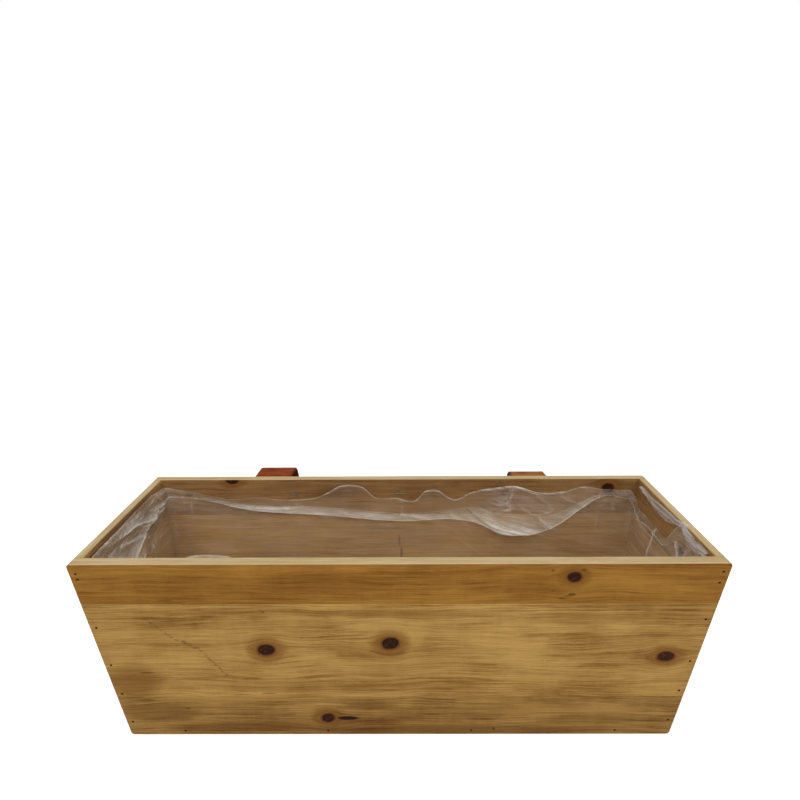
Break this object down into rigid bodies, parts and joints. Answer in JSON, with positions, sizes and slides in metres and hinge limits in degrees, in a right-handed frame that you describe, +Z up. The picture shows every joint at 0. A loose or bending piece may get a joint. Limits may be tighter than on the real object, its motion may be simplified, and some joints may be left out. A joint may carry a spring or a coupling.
{
  "type": "window box planter",
  "caption": "Long softwood window box with leaning walls, a stapled clear film liner and leather strap loops on its back.",
  "frame": {"origin": "middle of the underside, where the box stands", "axes": "+X along the box to the right as seen from the front, -Y the front, +Z up"},
  "size_m": [0.5988, 0.2943, 0.204],
  "materials": {
    "stained_wood": "honey-brown stain on planed fir, worn pale on the rim",
    "floor_wood": "planed fir, lightly stained",
    "brad_steel": "dulled",
    "staple_steel": "zinc plated",
    "clear_film": "clear film, creased",
    "strap_leather": "red-brown, smooth, darker cut edges",
    "strap_brass": "aged"
  },
  "bodies": {
    "box": {"corner_nails_front_left": "brad_steel", "corner_nails_front_right": "brad_steel", "corner_nails_back_left": "brad_steel", "corner_nails_back_right": "brad_steel", "floor_nails_front": "brad_steel", "floor_nails_right": "brad_steel", "floor_nails_back": "brad_steel", "floor_nails_left": "brad_steel", "liner_staples_front": "staple_steel", "liner_staples_right": "staple_steel", "liner_staples_back": "staple_steel", "liner_staples_left": "staple_steel", "front_board_top": "stained_wood", "front_board_middle": "stained_wood", "front_board_bottom": "stained_wood", "right_board_top": "stained_wood", "right_board_middle": "stained_wood", "right_board_bottom": "stained_wood", "back_board_top": "stained_wood", "back_board_middle": "stained_wood", "back_board_bottom": "stained_wood", "left_board_top": "stained_wood", "left_board_middle": "stained_wood", "left_board_bottom": "stained_wood", "floor_board_front": "floor_wood", "floor_board_back": "floor_wood", "film_liner": "clear_film", "left_strap_tails": "strap_leather", "left_strap_screws": "strap_brass", "left_strap_washers": "strap_brass", "right_strap_tails": "strap_leather", "right_strap_screws": "strap_brass", "right_strap_washers": "strap_brass"},
    "left_loop": {"left_strap_loop": "strap_leather"},
    "right_loop": {"right_strap_loop": "strap_leather"}
  },
  "joints": [
    {"name": "left_loop_flex", "type": "hinge", "parent": "box", "child": "left_loop", "pos_m": [-0.1565, 0.10568, 0.10802], "axis": [-1, 0, 0], "range_deg": [0, 90], "stiffness_Nm_per_rad": 0.15, "springref_deg": -17.19},
    {"name": "right_loop_flex", "type": "hinge", "parent": "box", "child": "right_loop", "pos_m": [0.161, 0.10568, 0.10802], "axis": [-1, 0, 0], "range_deg": [0, 90], "stiffness_Nm_per_rad": 0.15, "springref_deg": -17.19}
  ]
}
